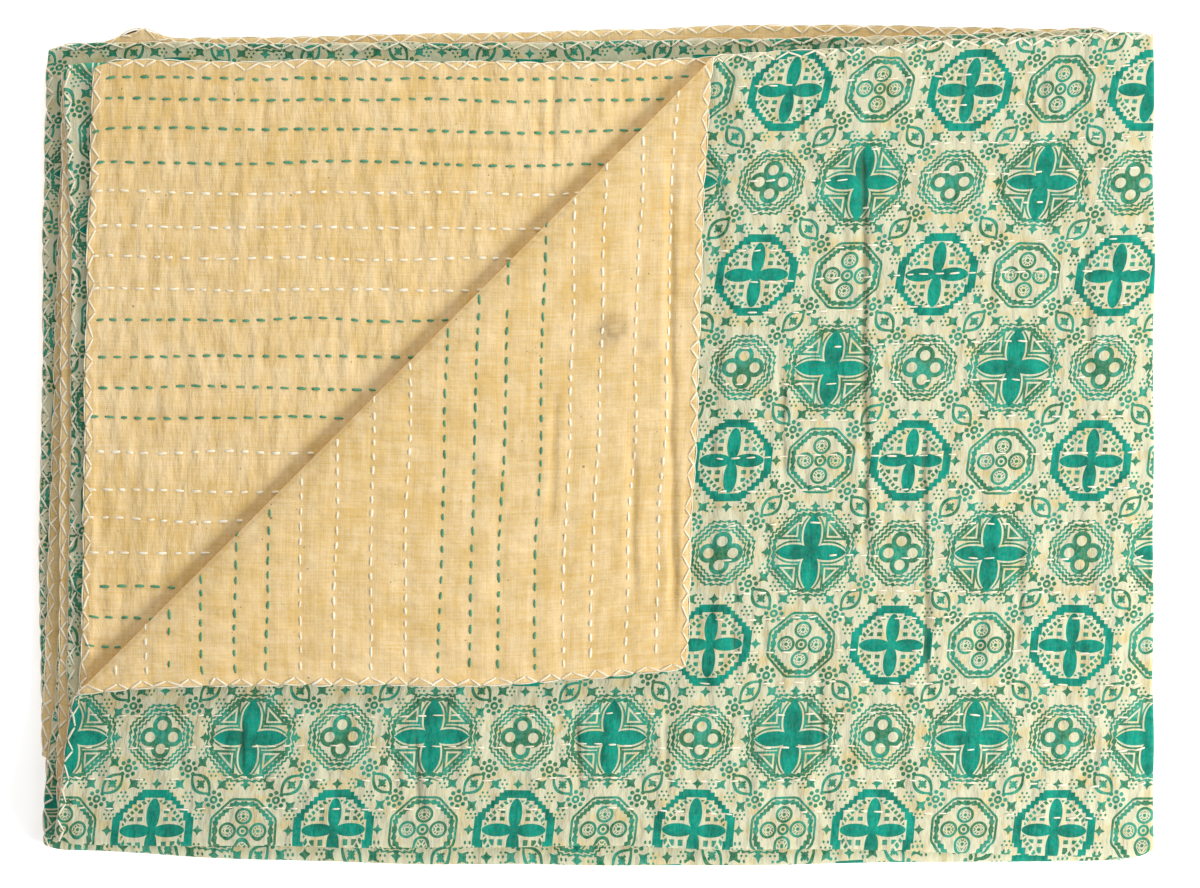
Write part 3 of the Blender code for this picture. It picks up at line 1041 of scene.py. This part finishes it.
def yellow_cotton(settings):
    mix = Recipe("yellow_cotton_cloth")
    cloth = mix.place("Cloth")
    weft = mix.streaks(cloth, 26.0, 820.0, 3.0, 0.6)
    warp = mix.streaks(cloth, 760.0, 22.0, 3.0, 0.6, start=(3.0, 5.0, 0.0))
    mottle = mix.clouds(cloth, 34.0, 4.0, 0.62)
    broad = mix.clouds(cloth, 7.0, 2.0)
    grain = mix.clouds(cloth, 900.0, 2.0)
    tone = mix.add(mix.times(weft, 0.9), mix.times(warp, 0.9))
    tone = mix.scaled(mottle, 1.0, tone)
    tone = mix.scaled(grain, 0.35, tone)
    tone = mix.scaled(broad, 0.5, tone)
    across, along = mix.split(cloth)
    # Streaks of painted shade, standing in for the shade in the troughs of the gathers, deepen the tone.
    down_inner = mix.streaks(cloth, 110.0, 34.0, start=(1.0, 7.0, 0.0))
    down_flap = mix.streaks(cloth, 30.0, 170.0, start=(4.0, 2.0, 0.0))
    gather_shade = mix.choose(mix.above(across, HALF_WIDTH), down_flap, down_inner)
    tone = mix.scaled(gather_shade, 0.75, tone)
    colour = mix.blend(mix.level(tone, 1.70, 2.65), settings.deep_yellow, settings.pale_yellow)
    slub = mix.streaks(cloth, 70.0, 1400.0, 1.0, start=(9.0, 2.0, 0.0))
    colour = mix.blend(mix.level(slub, 0.66, 0.76, 0.0, 0.55), colour, settings.slub)

    smudge = mix.distance(mix.less(across, 0.250), mix.less(along, 0.064))
    second = mix.distance(mix.less(across, 0.238), mix.less(along, 0.036))
    smudge = mix.least(smudge, mix.add(second, 0.0090))
    uneven = mix.level(mix.clouds(cloth, 160.0, 3.0), 0.3, 0.7, 0.35, 0.72)
    smudged = mix.both(mix.level(smudge, 0.019, 0.004), uneven)
    colour = mix.blend(smudged, colour, settings.smudge)
    speck = mix.both(mix.above(mix.clouds(cloth, 330.0, 0.0), 0.845), mix.above(mottle, 0.5))
    colour = mix.blend(mix.times(speck, 0.7), colour, settings.speck)
    marks = crease_marks(mix, ("flap", "inner"))
    # Painted shade: the colour is darkened towards the deep yellow along the pressed creases.
    colour = mix.blend(mix.times(marks, YELLOW_CREASE_SHADE), colour, settings.deep_yellow)
    mix.feed(mix.shader.inputs["Base Color"], colour)
    finish_cotton(mix, cloth, YELLOW_CRINKLE, marks)
    return mix.material


def thread_cotton(name, colour, shade):
    mix = Recipe(name)
    coords = mix.nodes.new("ShaderNodeTexCoord").outputs["Object"]
    twist = mix.clouds(coords, 900.0, 2.0)
    worn = mix.clouds(coords, 120.0, 2.0)
    worn_share = mix.level(mix.add(twist, worn), 0.8, 1.25)
    mix.feed(mix.shader.inputs["Base Color"], mix.blend(worn_share, colour, shade))
    mix.bump(twist, 0.6, 0.0002)
    mix.shader.inputs["Roughness"].default_value = 0.75
    mix.shader.inputs["Specular IOR Level"].default_value = 0.3
    return mix.material


# ---------------------------------------------------------------- thread


Stitch = namedtuple("Stitch", "start end offset width height fullness")
ROW_DRIFT = 0.0022  # how far a row strays from its line
ROW_TILT = 0.0008
PRINT_STITCHES = 0.66  # stitches on the print are this narrow, and this share of them show
YELLOW_STITCHES = 0.997
HEM_UNEVEN = 0.15  # how far a zigzag's points stray, as a share of its pitch
EDGE_OVERHANG = 0.0004  # how far out the zigzag goes round the edge


def sew(stitches):
    """A mesh with a plump bead of thread for each stitch, bent to lie on the quilt."""
    mesh = bmesh.new()
    bmesh.ops.create_uvsphere(mesh, u_segments=6, v_segments=5, radius=1.0)
    bead = [tuple(vert.co) for vert in mesh.verts]
    part = mesh.verts.layers.int.new("part")
    owner = mesh.verts.layers.int.new("owner")
    for index, vert in enumerate(mesh.verts):
        vert[part] = index
    count = 1
    while count < len(stitches):
        everything = mesh.verts[:] + mesh.edges[:] + mesh.faces[:]
        for item in bmesh.ops.duplicate(mesh, geom=everything)["geom"]:
            if isinstance(item, bmesh.types.BMVert):
                item[owner] += count
        count *= 2
    spare = [vert for vert in mesh.verts if vert[owner] >= len(stitches)]
    bmesh.ops.delete(mesh, geom=spare, context="VERTS")
    for vert in mesh.verts:
        vert.co = thread_place(stitches[vert[owner]], *bead[vert[part]])
    mesh.verts.layers.int.remove(mesh.verts.layers.int["owner"])
    mesh.verts.layers.int.remove(mesh.verts.layers.int["part"])
    return mesh


def thread_place(plan, x, y, z):
    """Where a point of a round bead lies once the bead is drawn out into a stitch."""
    run_across = plan.end[0] - plan.start[0]
    run_along = plan.end[1] - plan.start[1]
    length = hypot(run_across, run_along)
    girth = hypot(x, y)
    plump = girth**plan.fullness / girth if girth > 1e-6 else 0.0
    way = 0.5 + 0.5 * z
    sideways = x * plump * plan.width / 2
    across = plan.start[0] + run_across * way - run_along / length * sideways
    along = plan.start[1] + run_along * way + run_across / length * sideways
    lift = y * plump * plan.height / 2 - 0.6 * (1 - girth) * plan.height
    side = 1 if plan.offset > 0 else -1
    return settle(across, along, plan.offset + side * lift)


def visible_for(side, zone, spot):
    past = past_crease(spot.point)
    if side > 0:
        return zone == "print" and past < -0.002 and clear_of_flap(spot.point) > 0.003
    if zone == "flap":
        return past > CREASE_ROLL * 0.55
    return zone == "inner" and past > 0.004


def running_rows(colour, settings):
    """Rows of running stitch of one colour, where they show."""
    stitches = []
    face = QUILT_THICKNESS / 2
    plans = (
        (TOP_ROWS, 0.0, HALF_WIDTH, -1, False),
        (INNER_ROWS, HALF_WIDTH + SIDE_TURN_LENGTH, FLAT_WIDTH, -1, False),
        (TOP_ROWS, 0.0, HALF_WIDTH, 1, True),
    )
    for number, (rows, begin, finish, side, always_cream) in enumerate(plans):
        for index, (row, thread) in enumerate(rows):
            chance = Random(100 * number + index)
            worn_as = "cream" if always_cream else thread
            place = begin + 0.006 + 0.008 * chance.random()
            while place < finish - 0.006:
                length = settings.length * chance.uniform(0.72, 1.18)
                gap = settings.gap * chance.uniform(0.7, 1.35)
                drift = ROW_DRIFT * wobble(place / 0.06, row * 40, number + 0.5)
                tilt = ROW_TILT * chance.uniform(-1, 1)
                start = (place, row + drift - tilt / 2)
                end = (place + length, row + drift + tilt / 2)
                middle = lay(place + length / 2, row + drift, 0.0)
                keep = chance.random() < (PRINT_STITCHES if always_cream else YELLOW_STITCHES)
                width = settings.width * chance.uniform(0.85, 1.2) * (PRINT_STITCHES if always_cream else 1.0)
                place += length + gap
                if worn_as != colour or not keep:
                    continue
                if not visible_for(side, zone_of(middle), middle):
                    continue
                offset = side * (face + settings.width * 0.12)
                stitches.append(Stitch(start, end, offset, width, width * 0.62, 0.7))
    return stitches


def hem_thread(settings):
    """The zigzag over every free edge, on both faces of the quilt, and the thread along the edge itself."""
    stitches = []
    face = QUILT_THICKNESS / 2 + settings.hem_width * 0.22
    edges = (
        (FLAT_LENGTH, lambda place, inset: (inset, place)),
        (FLAT_LENGTH, lambda place, inset: (FLAT_WIDTH - inset, place)),
        (FLAT_WIDTH, lambda place, inset: (place, inset)),
        (FLAT_WIDTH, lambda place, inset: (place, FLAT_LENGTH - inset)),
    )
    for number, (length, spot) in enumerate(edges):
        for side in (1, -1):
            chance = Random(31 * number + side)
            count = floor(length / HEM_PITCH)
            for step in range(count):
                place = (step + HEM_UNEVEN * chance.uniform(-1, 1)) * HEM_PITCH
                following = (step + 1 + HEM_UNEVEN * chance.uniform(-1, 1)) * HEM_PITCH
                tip = (place + following) / 2 + 0.002 * chance.uniform(-1, 1)
                inset = settings.hem_reach * chance.uniform(0.8, 1.2)
                place = clip(place, 0.0008, length - 0.0008)
                following = clip(following, 0.0008, length - 0.0008)
                tip = clip(tip, 0.0012, length - 0.0012)
                width = settings.hem_width * chance.uniform(0.85, 1.15)
                height = side * face
                edge = spot(place, -EDGE_OVERHANG)
                inner = spot(tip, inset)
                next_edge = spot(following, -EDGE_OVERHANG)
                stitches.append(Stitch(edge, inner, height, width, width * 0.7, 0.35))
                stitches.append(Stitch(inner, next_edge, height, width, width * 0.7, 0.35))
                if side < 0:
                    stitches.append(Stitch(edge, next_edge, height * 0.45, width * 0.7, width * 0.8, 0.4))
    return stitches


# ---------------------------------------------------------------- what a user may change


def colour_property(name, description, default):
    return bpy.props.FloatVectorProperty(
        name=name, description=description, default=default, subtype="COLOR", min=0.0, max=1.0
    )


def amount_property(name, description, default, unit="LENGTH"):
    return bpy.props.FloatProperty(name=name, description=description, default=default, unit=unit)


class ClothSettings(bpy.types.PropertyGroup):
    ground: colour_property("Ground", "Cream ground of the printed cloth", (0.650, 0.630, 0.445))
    ground_tint: colour_property("Ground tint", "Ochre tint that the print leaves", (0.65, 0.52, 0.25))
    ground_shade: colour_property("Ground shade", "Greener cream between figures", (0.54, 0.56, 0.39))
    line_ink: colour_property("Line ink", "Green of the outlines", (0.012, 0.165, 0.080))
    bright_ink: colour_property("Bright line ink", "Brighter green in the outlines", (0.012, 0.300, 0.200))
    fill_ink: colour_property("Fill ink", "Teal of the petals and rings", (0.001, 0.300, 0.210))
    deep_ink: colour_property("Deep fill ink", "Deeper teal of the petals", (0.002, 0.170, 0.115))
    # Painted shade along the pressed creases of the print.
    crease_shade: colour_property("Crease shade", "Painted shade along the pressed creases", (0.10, 0.115, 0.045))
    pale_yellow: colour_property("Pale yellow", "Lightest yarns of the yellow cloth", (0.85, 0.655, 0.375))
    deep_yellow: colour_property("Deep yellow", "Deepest yarns of the yellow cloth", (0.70, 0.470, 0.165))
    slub: colour_property("Slub", "Thick uneven yarns", (0.60, 0.42, 0.18))
    smudge: colour_property("Smudge", "The old marks on the turned corner", (0.34, 0.24, 0.12))
    speck: colour_property("Speck", "Bits of seed in the yarn", (0.22, 0.14, 0.06))


class StitchSettings(bpy.types.PropertyGroup):
    length: amount_property("Stitch length", "Thread that shows in one stitch", 0.0072)
    gap: amount_property("Gap", "Cloth between two stitches", 0.0041)
    width: amount_property("Thread width", "Width of a running stitch", 0.0021)
    hem_width: amount_property("Hem thread width", "Width of the zigzag thread", 0.0015)
    hem_reach: amount_property("Hem reach", "How far in the zigzag goes", 0.0052)
    cream: colour_property("Cream thread", "Cream cotton thread", (0.90, 0.85, 0.70))
    cream_shade: colour_property("Cream thread shade", "Its shaded strands", (0.80, 0.70, 0.50))
    green: colour_property("Green thread", "Green cotton thread", (0.110, 0.335, 0.190))
    green_shade: colour_property("Green thread shade", "Its shaded strands", (0.060, 0.225, 0.125))


class StageSettings(bpy.types.PropertyGroup):
    floor_colour: colour_property("Floor", "Pale floor", (0.90, 0.90, 0.90))
    key_power: amount_property("Key light", "Power of the large soft light", 42.0, "POWER")
    key_size: amount_property("Key size", "Width of the large soft light", 0.9)
    back_power: amount_property("Back light", "Power of the low light behind the pile", 20.0, "POWER")
    back_size: amount_property("Back size", "Width of the light behind the pile", 1.0)
    sky: amount_property("Sky", "Strength of the even light", 0.50, "NONE")
    lens: amount_property("Lens", "Focal length", 200.0, "CAMERA")
    view_width: amount_property("View width", "Width that the camera takes in", 0.84)


# ---------------------------------------------------------------- one operator for each group of pieces


class QUILT_OT_cloths(bpy.types.Operator):
    """Lay the printed cloth and the yellow cloth on their folds."""

    bl_idname = "quilt.cloths"
    bl_label = "Cloths"

    def execute(self, context):
        settings = context.scene.quilt_cloth
        printed = folded_sheet("printed_sheet", 1, PRINT_ROOM)
        printed.data.materials.append(printed_cotton(settings))
        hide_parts("printed_cloth")
        yellow = folded_sheet("yellow_sheet", -1, YELLOW_ROOM)
        yellow.data.materials.append(yellow_cotton(settings))
        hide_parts("yellow_cloth")
        for sheet in (printed, yellow):
            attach(sheet, "root")
        return {"FINISHED"}


class QUILT_OT_running_stitches(bpy.types.Operator):
    """Sew the rows of cream and green running stitch."""

    bl_idname = "quilt.running_stitches"
    bl_label = "Running stitches"

    def execute(self, context):
        settings = context.scene.quilt_stitches
        threads = (
            ("cream", "cream_running_stitches", settings.cream, settings.cream_shade),
            ("green", "green_running_stitches", settings.green, settings.green_shade),
        )
        for colour, name, thread, shade in threads:
            mesh = sew(running_rows(colour, settings))
            sewn(mesh, name, thread_cotton(colour + "_thread", thread, shade))
        return {"FINISHED"}


class QUILT_OT_hem_thread(bpy.types.Operator):
    bl_idname = "quilt.hem_thread"
    bl_label = "Hem thread"

    def execute(self, context):
        settings = context.scene.quilt_stitches
        mesh = sew(hem_thread(settings))
        sewn(mesh, "hem_zigzag", thread_cotton("hem_thread_cotton", settings.cream, settings.cream_shade))
        return {"FINISHED"}


def sewn(mesh, name, material):
    """Finishes a mesh of stitches as one piece."""
    for face in mesh.faces:
        face.smooth = True
    bmesh.ops.recalc_face_normals(mesh, faces=mesh.faces)
    piece = finished(name, mesh)
    piece.data.materials.append(material)
    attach(piece, "root")


FLOOR_HALF = 3.0
FLOOR_GAP = 0.0005
FLOOR_GLOW = 0.45
KEY_PLACE = Vector((1.60, -0.80, 1.15))
BACK_PLACE = Vector((0.15, 1.75, 0.55))
SENSOR_WIDTH = 36.0
WHITE = (1.0, 1.0, 1.0, 1.0)


def soft_light(name, place, size, power):
    """A square light that looks at the middle of the pile."""
    light = bpy.data.lights.new(name, "AREA")
    light.shape = "SQUARE"
    light.size = size
    light.energy = power
    lamp = bpy.data.objects.new(name, light)
    lamp.location = place
    lamp.rotation_euler = (-place).to_track_quat("-Z", "Y").to_euler()
    bpy.context.scene.collection.objects.link(lamp)


class QUILT_OT_stage(bpy.types.Operator):
    """Set out the pale floor, the soft lights and the camera."""

    bl_idname = "quilt.stage"
    bl_label = "Stage"

    def execute(self, context):
        settings = context.scene.quilt_stage
        mesh = bmesh.new()
        bmesh.ops.create_grid(mesh, x_segments=1, y_segments=1, size=FLOOR_HALF)
        bmesh.ops.translate(mesh, vec=(0, 0, CAD_BOX[0][2] - FLOOR_GAP), verts=mesh.verts)
        floor_piece = finished("floor", mesh)
        recipe = Recipe("pale_floor")
        speckle = recipe.clouds(recipe.nodes.new("ShaderNodeTexCoord").outputs["Object"], 40.0)
        paler = [min(1.0, channel * 1.02) for channel in settings.floor_colour]
        surface = recipe.shader.inputs
        recipe.feed(surface["Base Color"], recipe.blend(speckle, settings.floor_colour, paler))
        surface["Roughness"].default_value = 0.9
        surface["Emission Color"].default_value = WHITE
        surface["Emission Strength"].default_value = FLOOR_GLOW
        floor_piece.data.materials.append(recipe.material)

        soft_light("key_light", KEY_PLACE, settings.key_size, settings.key_power)
        soft_light("back_light", BACK_PLACE, settings.back_size, settings.back_power)

        world = bpy.data.worlds.new("even_light")
        world.use_nodes = True
        sky = world.node_tree.nodes["Background"]
        sky.inputs["Color"].default_value = WHITE
        sky.inputs["Strength"].default_value = settings.sky
        context.scene.world = world

        camera_data = bpy.data.cameras.new("camera")
        camera_data.lens = settings.lens
        camera_data.sensor_width = SENSOR_WIDTH
        camera_data.clip_end = 50.0
        camera = bpy.data.objects.new("camera", camera_data)
        distance = settings.view_width * settings.lens / SENSOR_WIDTH
        camera.location = (0.0028, 0.0009, TOP_LAYER_HEIGHT + distance)
        context.scene.collection.objects.link(camera)
        context.scene.camera = camera
        context.scene.view_settings.view_transform = "Standard"
        return {"FINISHED"}


class QUILT_PT_panel(bpy.types.Panel):
    """The quilt's pieces and settings, in the sidebar."""

    bl_label = "Kantha Quilt"
    bl_idname = "QUILT_PT_panel"
    bl_space_type = "VIEW_3D"
    bl_region_type = "UI"
    bl_category = "Quilt"

    def draw(self, context):
        layout = self.layout
        for operator in OPERATORS:
            layout.operator(operator.bl_idname)
        for group in (context.scene.quilt_cloth, context.scene.quilt_stitches, context.scene.quilt_stage):
            box = layout.box()
            for name in group.__annotations__:
                box.prop(group, name)


OPERATORS = (QUILT_OT_cloths, QUILT_OT_running_stitches, QUILT_OT_hem_thread, QUILT_OT_stage)
CLASSES = (ClothSettings, StitchSettings, StageSettings, *OPERATORS, QUILT_PT_panel)


def register():
    for cls in CLASSES:
        bpy.utils.register_class(cls)
    bpy.types.Scene.quilt_cloth = bpy.props.PointerProperty(type=ClothSettings)
    bpy.types.Scene.quilt_stitches = bpy.props.PointerProperty(type=StitchSettings)
    bpy.types.Scene.quilt_stage = bpy.props.PointerProperty(type=StageSettings)


def unregister():
    del bpy.types.Scene.quilt_stage
    del bpy.types.Scene.quilt_stitches
    del bpy.types.Scene.quilt_cloth
    for cls in reversed(CLASSES):
        bpy.utils.unregister_class(cls)


def main():
    register()
    bpy.ops.quilt.cloths()
    bpy.ops.quilt.running_stitches()
    bpy.ops.quilt.hem_thread()
    bpy.ops.quilt.stage()


if __name__ == "__main__":
    main()
